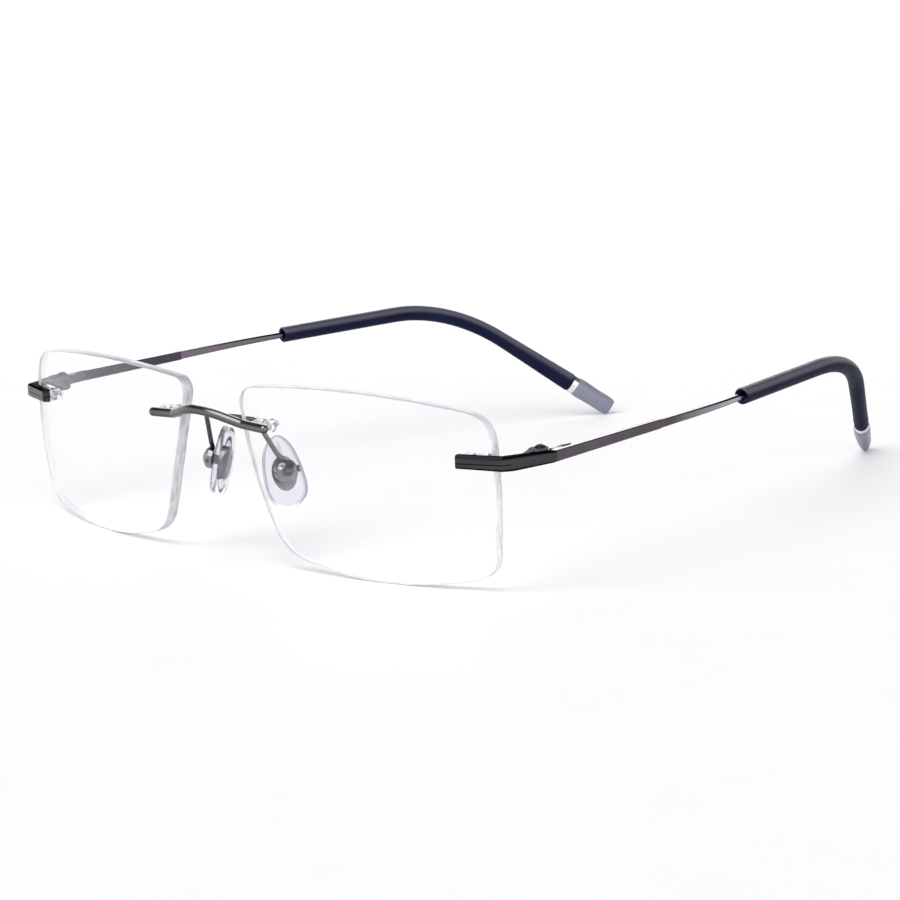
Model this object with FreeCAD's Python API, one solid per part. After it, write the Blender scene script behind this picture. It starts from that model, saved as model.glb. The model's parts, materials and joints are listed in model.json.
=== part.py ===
import FreeCAD, Part
import math
import os

# Rimless eyeglasses, open, standing on the lower lens edges and the two temple tips.
#
# Millimetres.  X runs across the face towards the wearer's left, Y runs back along the
# temples and Z is up.  The shapes are drawn with Y = 0 at the middle of the lens fronts and
# moved at the end, so that the finished part's origin is the bottom centre of its box.
# Only the left half is drawn: the right half is its mirror image.

V = FreeCAD.Vector
UP = V(0, 0, 1)
ACROSS = V(1, 0, 0)
BACK = V(0, 1, 0)

# ---- driving dimensions -------------------------------------------------------------------

ORIGIN_TO_LENS = 65.2            # from the finished origin forward to the lens fronts

LENS_CENTRE = V(33.5, -0.5, 16.4)
LENS_FRONT_RADIUS = 134.0
LENS_THICKNESS = 2.1
LENS_WRAP = 10.4                 # degrees, outer edge back
LENS_TILT = 3.2                  # degrees, top edge forward
LENS_CORNERS = {                 # outward and upward from the lens centre, before rounding
    "outer_top": (25.5, 13.5),
    "inner_top": (-26.8, 14.85),
    "inner_bottom": (-17.7, -13.3),
    "outer_bottom": (24.9, -13.75),
}
LENS_SIDES = (                   # from corner, to corner, how far the side bows outward
    ("outer_top", "inner_top", 2.25),
    ("inner_top", "inner_bottom", 1.0),
    ("inner_bottom", "outer_bottom", 2.95),
    ("outer_bottom", "outer_top", 1.05),
)
LENS_CORNER_RADII = {"outer_top": 5.5, "inner_top": 2.8, "inner_bottom": 8.9, "outer_bottom": 4.7}
LENS_EDGE_BEVEL = 0.15

BRIDGE_BAR_R = 0.82
BRIDGE_ARM_END = V(14.3, -3.76, 25.2)
BRIDGE_BEND = V(8.9, -3.76, 25.45)
BRIDGE_RISE = 24.7               # degrees between the riser and the X axis
BRIDGE_ARCH_LEAN = 41.8          # degrees up from straight ahead
BRIDGE_BEND_R = 1.6
BRIDGE_ARCH_R = 12.0

STUD_R = 0.45
STUD_PITCH = 2.6
STUD_BEHIND_FRONT = 3.3          # how far a stud reaches behind the lens front
STUD_IN_BAR = 0.55
PLUG_BARREL_R = 0.78
PLUG_FLANGE_WIDTH = 2.4
PLUG_FLANGE_THICKNESS = 0.7
PLUG_END_BEHIND_FRONT = 3.7
BRIDGE_STUD_MIDDLE = 12.0        # X half-way between the two bridge studs
BRIDGE_FLANGE_LENGTH = 4.9
ENDPIECE_STUD_MIDDLE = 2.8       # along the front bar from its inner end
ENDPIECE_FLANGE_LENGTH = 5.4
SEAT_GAP = 0.02                  # metal to lens, and plug to lens
FIT_GAP = 0.01                   # between pieces that are pressed together

ENDPIECE_INNER_END = V(53.4, 3.0, 22.8)      # front face, inner end, mid height
ENDPIECE_CORNER = V(61.45, 6.1, 22.65)       # outer vertical edge of the corner
ENDPIECE_THICKNESS = 1.45
ENDPIECE_TALLEST_AT = 8.5        # Y where the side arm is tallest
ENDPIECE_HEIGHTS = (             # height of its middle, and how tall: inner end, tallest, hinge
    (22.8, 2.3),
    (22.62, 2.55),
    (22.75, 2.05),
)
ENDPIECE_BEVEL = 0.3
ENDPIECE_LENS_SEAT = 6.6         # how far along the front bar the lens reaches
LENS_SEAT_CUTTER = (0.5, 2.0, 6.0)            # past the inner end, ahead of the bar, across
LINE_WIDTH = 0.14                # fine line cut along the front face of the bar
LINE_DEPTH = 0.08
LINE_BELOW_MIDDLE = 0.25
LINE_FROM_END = 0.9

HINGE = V(61.25, 15.4, 0)        # vertical hinge axis
HINGE_BARREL_R = 1.35
HINGE_BOTTOM = 21.4
HINGE_TOP = 24.15
HINGE_ROUNDING = 0.5             # at the lower end of the barrel
HINGE_FLOOR = 0.3                # left below the screw hole
GUSSET_START = 2.5               # behind the corner, where the web leaves the side arm
GUSSET_RAMP = (                  # ahead of the hinge axis, and share of the rise to the barrel top
    (3.6, 0.0),
    (2.7, 0.2),
    (2.0, 0.55),
    (1.5, 1.0),
)
TONGUE_MIDDLE = 22.8
TONGUE_HEIGHT = 0.9
TONGUE_GAP = 0.06
TONGUE_R = 1.28
SCREW_R = 0.5
SCREW_HEAD_R = 1.0
SCREW_HEAD_RIM = 0.15            # straight part of the head under its dome
SCREW_HEAD_HEIGHT = 0.6
SCREW_SLOT_ANGLE = 60
SCREW_SLOT = (0.28, 1.2, 0.2)    # width, length, depth
SCREW_RUNNING_GAP = 0.05

LEAF_BLOCK = (0.75, 0.93)        # below and above the temple's middle
LEAF_HUMP = (2.3, 3.4, 1.2)      # behind the temple's start, foot and top, and how high
LEAF_BLOCK_START = (0.35, 1.75)  # from the hinge axis, inner front corner
LEAF_BLOCK_END = (0.55, 3.2)     # from the hinge axis, inner rear corner
LEAF_BLOCK_ON_TEMPLE = (1.1, 5.4)            # stretch of the temple that it is brazed to
LEAF_NECK_ON_TEMPLE = (0.35, 3.4)
LEAF_NECK_INNER = ((-0.75, 1.0), (0.2, 2.4))  # corners of the neck, from the hinge axis
LEAF_NECK_OUTER = (1.15, 0.5)

SPLIT_GAP = 0.08                 # between endpiece and temple at the hinge
TEMPLE_START = V(63.43, 16.27, 22.8)
TEMPLE_CORNERS = (V(60.89, 60.4, 23.8), V(52.58, 109.0, 24.85))
TEMPLE_TIP = V(33.55, 135.7, 1.63)
TEMPLE_CORNER_RADII = (130.0, 33.5)
TEMPLE_START_HEIGHT = 1.95
TEMPLE_START_THICKNESS = 1.35
TEMPLE_STEP_AT = 28.0            # distance along the temple of the step on its inner face
TEMPLE_STEP_SIZE = (1.62, 1.3)   # height and thickness there
TEMPLE_STEP_DEPTH = 0.18
TEMPLE_STEP_LENGTH = 0.6
TEMPLE_BEVEL = 0.12
TEMPLE_END = 53.9                # where the bar gives way to its round core wire
TEMPLE_END_SIZE = 1.08
TEMPLE_END_BEVEL = 0.3
TEMPLE_STATIONS = 8              # sections between the step and the end of the bar
CORE_WIRE_R = 0.5
CORE_WIRE_END = 119.0

SLEEVE_START = 53.2              # distances along the temple
SLEEVE_END = 123.0
SLEEVE_R = 1.5
SLEEVE_BORE_R = 0.56
SLEEVE_MOUTH_R = 1.1
SLEEVE_MOUTH_DEPTH = 0.9
SLEEVE_MOUTH_BEVEL = 0.2
SLEEVE_TAIL = (                  # share of the way down the tail, height and thickness
    (0.3, 3.2, 2.9),
    (0.75, 3.55, 2.85),
)
SLEEVE_END_HEIGHT = 3.7
SLEEVE_END_THICKNESS = 2.95
SLEEVE_LIP_LENGTH = 0.35
SLEEVE_LIP_BEVEL = 0.18
RING_LENGTH = 1.15
RING_HEIGHT = 3.65
RING_THICKNESS = 3.05
CAP_HEIGHT = 3.75
CAP_THICKNESS = 3.15
CAP_EDGE_BEVEL = 0.075
CAP_SHOULDER = 0.25
CAP_WEDGE = (                    # from the cap's start: height, thickness, shift outward
    (3.5, 3.75, 3.1, 0.0),
    (6.2, 3.7, 2.8, 0.1),
    (8.2, 3.5, 2.1, 0.22),
    (8.9, 3.1, 1.5, 0.28),
)
SPIGOT_R = 0.8
SPIGOT_START = 121.2

PAD_CENTRE = V(8.2, 6.7, 15.4)
PAD_SPLAY = 30.0                 # degrees, rear edges apart
PAD_FLARE = 15.0                 # degrees, lower ends apart
PAD_LENGTH = 13.0
PAD_WIDTH_LOW = 7.3
PAD_WIDTH_HIGH = 6.2
PAD_BOX_SIDE = 1.1               # pad face towards its box, from the pad centre
PAD_NOSE_SIDE = 1.35             # crown of the face that rests on the nose
INSERT_HALF_LENGTH = 3.1
INSERT_HALF_WIDTH = 2.15
INSERT_BELOW_CENTRE = 0.3
INSERT_THICKNESS = 0.5
PAD_PIVOT = 2.4                  # pivot axis, from the pad centre towards the box
BOX_R = 2.05
BOX_RIM = 1.75
BOX_SHOULDER = 2.65
BOX_CROWN = 3.75
BOX_WALL = 0.5
BOX_FLOOR = 3.15
LUG_R = 0.62
LUG_HALF_WIDTH = 0.6
PAD_SCREW_R = 0.35
PAD_SCREW_HEAD_R = 0.6
PAD_SCREW_HEAD = 0.35
PAD_SCREW_RUNNING_GAP = 0.04
PAD_WIRE_R = 0.43
PAD_WIRE_CORNERS = (V(3.3, -5.0, 26.75), V(6.9, 1.9, 25.3), V(9.0, 4.7, 18.9))
PAD_WIRE_RADII = (1.4, 0.9)


# ---- routes: straight legs joined by tangent arcs ---------------------------------------------

class Leg:
    """One straight or circular stretch of a route."""

    def __init__(self, start, direction, length, axis=None, radius=0.0):
        self.start = start
        self.direction = direction
        self.length = length
        self.axis = axis
        self.radius = radius

    def place(self, distance):
        if self.axis is None:
            return self.start + self.direction * distance, self.direction
        centre = self.start + self.axis.cross(self.direction) * self.radius
        turn = FreeCAD.Rotation(self.axis, math.degrees(distance / self.radius))
        return centre + turn.multVec(self.start - centre), turn.multVec(self.direction)

    def edge(self, first, last):
        start = self.place(first)[0]
        end = self.place(last)[0]
        if self.axis is None:
            return Part.LineSegment(start, end).toShape()
        return Part.Arc(start, self.place((first + last) / 2)[0], end).toShape()


class Route:
    """A line through corners, each rounded with its own radius.

    A place on it is given by its distance from the start.
    """

    def __init__(self, corners, radii):
        self.legs = []
        start = corners[0]
        for corner, after, radius in zip(corners[1:-1], corners[2:], radii):
            before = unit(corner - start)
            onward = unit(after - corner)
            turn = before.getAngle(onward)
            trim = radius * math.tan(turn / 2)
            arc_start = corner - before * trim
            self.legs.append(Leg(start, before, (arc_start - start).Length))
            self.legs.append(Leg(arc_start, before, radius * turn, unit(before.cross(onward)), radius))
            start = corner + onward * trim
        self.legs.append(Leg(start, unit(corners[-1] - start), (corners[-1] - start).Length))
        self.length = sum(leg.length for leg in self.legs)

    def place(self, distance):
        for leg in self.legs[:-1]:
            if distance <= leg.length:
                return leg.place(distance)
            distance -= leg.length
        return self.legs[-1].place(distance)

    def frame(self, distance):
        """Point, sideways, upward and forward directions at a distance along the route."""
        point, along = self.place(distance)
        sideways = unit(along.cross(UP))
        return point, sideways, sideways.cross(along), along

    def wire(self, first, last):
        edges = []
        begin = 0.0
        for leg in self.legs:
            low = max(first - begin, 0.0)
            high = min(last - begin, leg.length)
            if high - low > 1e-6:
                edges.append(leg.edge(low, high))
            begin += leg.length
        return Part.Wire(edges)

    def rod(self, first, last, radius):
        """A round rod along the route between two distances."""
        point, along = self.place(first)
        circle = Part.Wire(Part.Circle(point, along, radius).toShape())
        return self.wire(first, last).makePipeShell([circle], True, True)


# ---- small helpers ------------------------------------------------------------------------------

def unit(vector):
    return vector / vector.Length


def mirrored(shape):
    return shape.mirror(V(0, 0, 0), ACROSS)


def polygon(points):
    return Part.makePolygon(list(points) + [points[0]])


def plan_prism(points, low, high):
    """A prism over an outline of (x, y) points, between two heights."""
    face = Part.Face(polygon([V(x, y, low) for x, y in points]))
    return face.extrude(UP * (high - low))


def side_prism(points, low, high):
    """A prism over an outline of (y, z) points, between two X positions."""
    face = Part.Face(polygon([V(low, y, z) for y, z in points]))
    return face.extrude(ACROSS * (high - low))


def cylinder(radius, start, end):
    return Part.makeCylinder(radius, (end - start).Length, start, end - start)


def on_route(route, distance, shape):
    """Move a shape drawn with X up, Z along the route, to a distance along it."""
    point, sideways, upward, along = route.frame(distance)
    turn = FreeCAD.Rotation(upward, along.cross(upward), along)
    placed = shape.copy()
    placed.Placement = FreeCAD.Placement(point, turn)
    return placed


def oval(route, distance, height, thickness, outward=0.0):
    """An oval section across the route, moved outward by a small amount."""
    if abs(height - thickness) < 1e-6:
        edge = Part.Circle(V(0, outward, 0), UP, height / 2).toShape()
    else:
        edge = Part.Ellipse(V(0, outward, 0), height / 2, thickness / 2).toShape()
    return on_route(route, distance, Part.Wire(edge))


def bar_section(route, distance, height, thickness, bevel, outward=0.0):
    """A rectangular section with bevelled corners across the route."""
    point, sideways, upward, along = route.frame(distance)
    a = height / 2
    b = thickness / 2
    outline = (
        (a, b - bevel), (a - bevel, b), (bevel - a, b), (-a, b - bevel),
        (-a, bevel - b), (bevel - a, -b), (a - bevel, -b), (a, bevel - b),
    )
    return polygon([point + upward * u + sideways * (s + outward) for u, s in outline])


# ---- lens -----------------------------------------------------------------------------------------

def lens_placement():
    wrap = FreeCAD.Rotation(UP, LENS_WRAP)
    tilt = FreeCAD.Rotation(ACROSS, LENS_TILT)
    return FreeCAD.Placement(LENS_CENTRE, wrap.multiply(tilt))


def lens_ball(radius):
    """A ball whose skin follows the lens curve: the front radius gives the lens front."""
    centre = lens_placement().multVec(V(0, LENS_FRONT_RADIUS, 0))
    return Part.makeSphere(radius, centre)


def lens_outline_prism():
    corners = {name: V(u, 0, v) for name, (u, v) in LENS_CORNERS.items()}
    sides = []
    for first, last, bow in LENS_SIDES:
        start = corners[first]
        end = corners[last]
        chord = end - start
        outward = unit(V(chord.z, 0, -chord.x))
        sides.append(Part.Arc(start, (start + end) / 2 + outward * bow, end).toShape())
    face = Part.Face(Part.Wire(sides))
    face.translate(BACK * -8)
    prism = face.extrude(BACK * 24)
    for name, radius in LENS_CORNER_RADII.items():
        prism = prism.makeFillet(radius, [upright_edge(prism, corners[name])])
    return prism


def upright_edge(prism, corner):
    """The edge of the lens prism that runs front to back through a corner."""
    def miss(edge):
        middle = edge.CenterOfMass
        return math.hypot(middle.x - corner.x, middle.z - corner.z)
    return min(prism.Edges, key=miss)


def lens():
    prism = lens_outline_prism()
    prism.Placement = lens_placement()
    shell = lens_ball(LENS_FRONT_RADIUS).cut(lens_ball(LENS_FRONT_RADIUS - LENS_THICKNESS))
    blank = shell.common(prism).Solids[0]
    rims = []
    for face in blank.Faces:
        if isinstance(face.Surface, Part.Sphere):
            rims.extend(face.Edges)
    blank = blank.makeChamfer(LENS_EDGE_BEVEL, rims)
    for point, along in stud_places():
        barrel = PLUG_BARREL_R + FIT_GAP
        blank = blank.cut(cylinder(barrel, point - along * 3, point + along * 5))
    return blank


# ---- studs and plugs that clamp the metal to the lenses --------------------------------------------

def endpiece_along():
    run = ENDPIECE_CORNER - ENDPIECE_INNER_END
    return unit(V(run.x, run.y, 0))


def endpiece_inward():
    """Horizontal direction from the front bar's front face into the lens."""
    return UP.cross(endpiece_along())


def on_lens_front(point, along):
    """Where a line through a point meets the front of the lens."""
    centre = lens_placement().multVec(V(0, LENS_FRONT_RADIUS, 0))
    offset = point - centre
    half = offset.dot(along)
    root = math.sqrt(half * half - offset.dot(offset) + LENS_FRONT_RADIUS ** 2)
    return point + along * (-half - root)


def bridge_studs_middle():
    slope = (BRIDGE_ARM_END.z - BRIDGE_BEND.z) / (BRIDGE_ARM_END.x - BRIDGE_BEND.x)
    height = BRIDGE_BEND.z + slope * (BRIDGE_STUD_MIDDLE - BRIDGE_BEND.x)
    return V(BRIDGE_STUD_MIDDLE, BRIDGE_BEND.y, height)


def endpiece_studs_middle():
    return ENDPIECE_INNER_END + endpiece_along() * ENDPIECE_STUD_MIDDLE


def pair_places(middle, spread, along):
    """Two stud axes, each as its point on the lens front and its direction."""
    places = []
    for half in (-0.5, 0.5):
        point = middle + spread * (half * STUD_PITCH)
        places.append((on_lens_front(point, along), along))
    return places


def bridge_places():
    return pair_places(bridge_studs_middle(), ACROSS, BACK)


def endpiece_places():
    return pair_places(endpiece_studs_middle(), endpiece_along(), endpiece_inward())


def stud_places():
    return bridge_places() + endpiece_places()


def studs(places):
    """Two plain studs, brazed into the bar and reaching through the lens."""
    pins = []
    for point, along in places:
        pins.append(cylinder(STUD_R, point - along * STUD_IN_BAR, point + along * STUD_BEHIND_FRONT))
    return Part.makeCompound(pins)


def stud_holes(places):
    holes = []
    for point, along in places:
        start = point - along * (STUD_IN_BAR + FIT_GAP)
        holes.append(cylinder(STUD_R + FIT_GAP, start, point + along * 5))
    return holes


def plug(places, spread, length):
    """Clear sleeve: an oblong flange behind the lens with two barrels through it."""
    (first, along), (second, _) = places
    middle = (first + second) / 2
    start = middle + along * (LENS_THICKNESS - 1)
    end_r = PLUG_FLANGE_WIDTH / 2
    half = spread * (length / 2 - end_r)
    reach = along * (1 + PLUG_FLANGE_THICKNESS)
    rib = spread.cross(along) * end_r
    flat = Part.Face(polygon([start - half - rib, start + half - rib,
                              start + half + rib, start - half + rib]))
    flange = flat.extrude(reach)
    flange = flange.fuse([cylinder(end_r, start - half, start - half + reach),
                          cylinder(end_r, start + half, start + half + reach)])
    flange = flange.common(lens_ball(LENS_FRONT_RADIUS - LENS_THICKNESS - SEAT_GAP))
    body = flange
    for point, direction in places:
        end = point + direction * PLUG_END_BEHIND_FRONT
        body = body.fuse(cylinder(PLUG_BARREL_R, point + direction * 0.2, end))
    for point, direction in places:
        end = point + direction * (STUD_BEHIND_FRONT + 0.05)
        body = body.cut(cylinder(STUD_R + FIT_GAP, point - direction, end))
    return body.removeSplitter()


# ---- bridge -----------------------------------------------------------------------------------------

def bridge_route():
    lean = math.radians(BRIDGE_ARCH_LEAN)
    climb = BRIDGE_BEND.x * math.tan(math.radians(BRIDGE_RISE))
    peak = V(0, BRIDGE_BEND.y - climb * math.cos(lean), BRIDGE_BEND.z + climb * math.sin(lean))
    corners = [BRIDGE_ARM_END, BRIDGE_BEND, peak]
    corners += [V(-point.x, point.y, point.z) for point in (BRIDGE_BEND, BRIDGE_ARM_END)]
    return Route(corners, (BRIDGE_BEND_R, BRIDGE_ARCH_R, BRIDGE_BEND_R))


def bridge():
    route = bridge_route()
    bar = route.rod(0, route.length, BRIDGE_BAR_R)
    ball = Part.makeSphere(BRIDGE_BAR_R, BRIDGE_ARM_END)
    bar = bar.fuse([ball, mirrored(ball)])
    seat = lens_ball(LENS_FRONT_RADIUS + SEAT_GAP)
    near_lens = Part.makeBox(7, 6, 6, V(BRIDGE_BEND.x - 0.6, -6, 22))
    seat = seat.common(near_lens)
    bar = bar.cut([seat, mirrored(seat)])
    for hole in stud_holes(bridge_places()):
        bar = bar.cut([hole, mirrored(hole)])
    return bar.removeSplitter()


# ---- endpiece with the outer hinge barrel --------------------------------------------------------------

def flat_point(point):
    return V(point.x, point.y, 0)


def endpiece_outline():
    """Plan outline of the front bar and the side arm, as (x, y) points."""
    _, outward, _, along = temple_route().frame(0)
    half = flat_point(outward) * (TEMPLE_START_THICKNESS / 2)
    split = flat_point(TEMPLE_START) - flat_point(along) * SPLIT_GAP
    outer = split + half
    inner = split - half
    corner = flat_point(ENDPIECE_CORNER)
    end = flat_point(ENDPIECE_INNER_END)
    inward = endpiece_inward() * ENDPIECE_THICKNESS
    arm = unit(outer - corner)
    spread = (endpiece_along() - arm).normalize()
    turn = endpiece_along().getAngle(arm)
    inside = corner - spread * (ENDPIECE_THICKNESS / math.cos(turn / 2))
    return [(p.x, p.y) for p in (end, corner, outer, inner, inside, end + inward)]


def endpiece_side():
    """Side outline of the endpiece, as (y, z) points: it is tallest behind the corner."""
    places = (ENDPIECE_INNER_END.y, ENDPIECE_TALLEST_AT, TEMPLE_START.y)
    top = [(y, z + height / 2) for y, (z, height) in zip(places, ENDPIECE_HEIGHTS)]
    bottom = [(y, z - height / 2) for y, (z, height) in zip(places, ENDPIECE_HEIGHTS)]
    return top + bottom[::-1]


def outer_edges(body):
    """Top and bottom edges of the endpiece along its front and outer faces."""
    outline = [V(x, y, 0) for x, y in endpiece_outline()[:3]]
    line = polygon(outline[:2]).Edges[:1] + polygon(outline[1:]).Edges[:1]
    chosen = []
    for edge in body.Edges:
        middle = Part.Vertex(flat_point(edge.CenterOfMass))
        on_line = min(middle.distToShape(side)[0] for side in line) < 0.01
        if on_line and edge.BoundBox.ZLength < 1:
            chosen.append(edge)
    return chosen


def hinge_gusset():
    """Web that grows from the side arm into the hinge barrel."""
    front = ENDPIECE_CORNER.y + GUSSET_START
    plan = plan_prism([
        (ENDPIECE_CORNER.x + 0.3, front),
        (HINGE.x - HINGE_BARREL_R, HINGE.y - 0.9),
        (HINGE.x - HINGE_BARREL_R, HINGE.y),
        (HINGE.x + HINGE_BARREL_R + 0.4, HINGE.y),
    ], HINGE_BOTTOM - 1, HINGE_TOP + 1)
    arm_middle, arm_height = ENDPIECE_HEIGHTS[-1]
    arm_low = arm_middle - arm_height / 2
    arm_high = arm_middle + arm_height / 2
    rise = HINGE_TOP - arm_high
    side = side_prism([
        (front, arm_high),
        (front, arm_low),
        (HINGE.y - 1.5, HINGE_BOTTOM + HINGE_ROUNDING),
        (HINGE.y + 1, HINGE_BOTTOM + HINGE_ROUNDING),
        (HINGE.y + 1, HINGE_TOP),
    ] + [(HINGE.y - ahead, arm_high + share * rise) for ahead, share in GUSSET_RAMP[::-1]],
        HINGE.x - 5, HINGE.x + 5)
    return plan.common(side)


def front_line():
    """Cutter for the fine line along the front face."""
    run = flat_point(ENDPIECE_CORNER - ENDPIECE_INNER_END).Length
    line = Part.makeBox(run - 2 * LINE_FROM_END, 1, LINE_WIDTH,
                        V(LINE_FROM_END, LINE_DEPTH - 1, -LINE_BELOW_MIDDLE - LINE_WIDTH / 2))
    turn = FreeCAD.Rotation(ACROSS, endpiece_along())
    line.Placement = FreeCAD.Placement(ENDPIECE_INNER_END, turn)
    return line


def hinge_barrel():
    """Round barrel with a rounded lower end."""
    barrel = cylinder(HINGE_BARREL_R, HINGE + UP * HINGE_BOTTOM, HINGE + UP * HINGE_TOP)
    rims = [edge for edge in barrel.Edges if edge.BoundBox.ZLength < 1e-6]
    lowest = min(rims, key=lambda edge: edge.BoundBox.ZMin)
    return barrel.makeFillet(HINGE_ROUNDING, [lowest])


def tongue_slot():
    height = TONGUE_HEIGHT + 2 * TONGUE_GAP
    low = HINGE + UP * (TONGUE_MIDDLE - height / 2)
    return cylinder(HINGE_BARREL_R + 0.08, low, low + UP * height)


def endpiece():
    flat = plan_prism(endpiece_outline(), 15, 30)
    body = flat.common(side_prism(endpiece_side(), 40, 80))
    body = body.makeChamfer(ENDPIECE_BEVEL, outer_edges(body))
    body = body.fuse([hinge_gusset(), hinge_barrel()])
    body = body.cut([tongue_slot(), front_line()])
    screw_hole = cylinder(SCREW_R + FIT_GAP, HINGE + UP * (HINGE_BOTTOM + HINGE_FLOOR), HINGE + UP * 30)
    body = body.cut(screw_hole)
    body = body.cut(lens_ball(LENS_FRONT_RADIUS + SEAT_GAP).common(lens_side_of_endpiece()))
    for hole in stud_holes(endpiece_places()):
        body = body.cut(hole)
    return body.removeSplitter()


def lens_side_of_endpiece():
    """The stretch of the front bar that lies on the lens."""
    past_end, ahead, across = LENS_SEAT_CUTTER
    corner = V(-past_end, -ahead, -across / 2)
    box = Part.makeBox(ENDPIECE_LENS_SEAT + past_end, across, across, corner)
    turn = FreeCAD.Rotation(ACROSS, endpiece_along())
    box.Placement = FreeCAD.Placement(ENDPIECE_INNER_END, turn)
    return box


# ---- hinge screw and temple side of the hinge ----------------------------------------------------------

def hinge_screw():
    """Screw with a domed, slotted head."""
    top = HINGE + UP * HINGE_TOP
    shank = cylinder(SCREW_R, HINGE + UP * (HINGE_BOTTOM + HINGE_FLOOR + FIT_GAP), top)
    dome_height = SCREW_HEAD_HEIGHT - SCREW_HEAD_RIM
    ball_r = (SCREW_HEAD_R ** 2 + dome_height ** 2) / (2 * dome_height)
    ball = Part.makeSphere(ball_r, top + UP * (SCREW_HEAD_HEIGHT - ball_r))
    head = cylinder(SCREW_HEAD_R, top, top + UP * SCREW_HEAD_HEIGHT).common(ball)
    width, length, depth = SCREW_SLOT
    corner = V(-width / 2, -length / 2, SCREW_HEAD_HEIGHT - depth)
    slot = Part.makeBox(width, length, depth + 1, corner)
    slot.rotate(V(0, 0, 0), UP, SCREW_SLOT_ANGLE)
    slot.translate(top)
    return shank.fuse(head).cut(slot).removeSplitter()


def temple_route():
    return Route((TEMPLE_START,) + TEMPLE_CORNERS + (TEMPLE_TIP,), TEMPLE_CORNER_RADII)


def inner_face(distance):
    """Plan point on the temple's inner face at a distance along it."""
    point, outward, _, _ = temple_route().frame(distance)
    place = point - outward * (TEMPLE_START_THICKNESS / 2)
    return place.x, place.y


def from_hinge(offset):
    """Plan point at an offset from the hinge axis."""
    return HINGE.x + offset[0], HINGE.y + offset[1]


def leaf_side():
    """Side outline of the leaf's block, with the low hump on its rear half."""
    below, above = LEAF_BLOCK
    foot, crest, hump = LEAF_HUMP
    middle = TEMPLE_START.z
    start = HINGE.y
    end = TEMPLE_START.y + LEAF_BLOCK_ON_TEMPLE[1] + 1
    return side_prism([
        (start, middle - below),
        (end, middle - below),
        (end, middle + hump),
        (TEMPLE_START.y + crest, middle + hump),
        (TEMPLE_START.y + foot, middle + above),
        (start, middle + above),
    ], HINGE.x - 5, HINGE.x + 5)


def temple_leaf():
    """Hinge leaf brazed inside the temple, with the tongue that turns on the screw."""
    low = TONGUE_MIDDLE - TONGUE_HEIGHT / 2
    high = TONGUE_MIDDLE + TONGUE_HEIGHT / 2
    eye = cylinder(TONGUE_R, HINGE + UP * low, HINGE + UP * high)
    neck_start, neck_end = LEAF_NECK_ON_TEMPLE
    block_start, block_end = LEAF_BLOCK_ON_TEMPLE
    neck = plan_prism([
        from_hinge(LEAF_NECK_INNER[0]),
        from_hinge(LEAF_NECK_INNER[1]),
        inner_face(neck_end),
        inner_face(neck_start),
        from_hinge(LEAF_NECK_OUTER),
        from_hinge((0, 0)),
    ], low, high)
    block = plan_prism([
        from_hinge(LEAF_BLOCK_START),
        from_hinge(LEAF_BLOCK_END),
        inner_face(block_end),
        inner_face(block_start),
    ], TEMPLE_START.z - 5, TEMPLE_START.z + 5)
    leaf = eye.fuse([neck, block.common(leaf_side())])
    bore = SCREW_R + SCREW_RUNNING_GAP
    leaf = leaf.cut(cylinder(bore, HINGE + UP * (low - 1), HINGE + UP * (high + 1)))
    return leaf.removeSplitter()


# ---- temple, sleeve, ring and cap -------------------------------------------------------------------------

def temple_arm():
    """Flat bar from the hinge that tapers to a round core wire inside the sleeve."""
    route = temple_route()
    flat = Part.makeLoft([
        bar_section(route, 0, TEMPLE_START_HEIGHT, TEMPLE_START_THICKNESS, TEMPLE_BEVEL),
        bar_section(route, TEMPLE_STEP_AT, *TEMPLE_STEP_SIZE, TEMPLE_BEVEL),
    ], True, True)
    step_end = TEMPLE_STEP_AT + TEMPLE_STEP_LENGTH
    height = TEMPLE_STEP_SIZE[0] - TEMPLE_STEP_DEPTH
    thickness = TEMPLE_STEP_SIZE[1] - TEMPLE_STEP_DEPTH
    lean = TEMPLE_STEP_DEPTH / 2
    step = Part.makeLoft([
        bar_section(route, TEMPLE_STEP_AT, *TEMPLE_STEP_SIZE, TEMPLE_BEVEL),
        bar_section(route, step_end, height, thickness, TEMPLE_BEVEL, lean),
    ], True, True)
    taper = []
    for index in range(TEMPLE_STATIONS + 1):
        done = index / TEMPLE_STATIONS
        left = 1 - done
        size_high = height * left + TEMPLE_END_SIZE * done
        size_thick = thickness * left + TEMPLE_END_SIZE * done
        bevel = TEMPLE_BEVEL * left + TEMPLE_END_BEVEL * done
        distance = step_end * left + TEMPLE_END * done
        taper.append(bar_section(route, distance, size_high, size_thick, bevel, lean * left))
    tapered = Part.makeLoft(taper, True, False)
    core = route.rod(TEMPLE_END, CORE_WIRE_END, CORE_WIRE_R)
    return flat.fuse([step, tapered, core])


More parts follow.
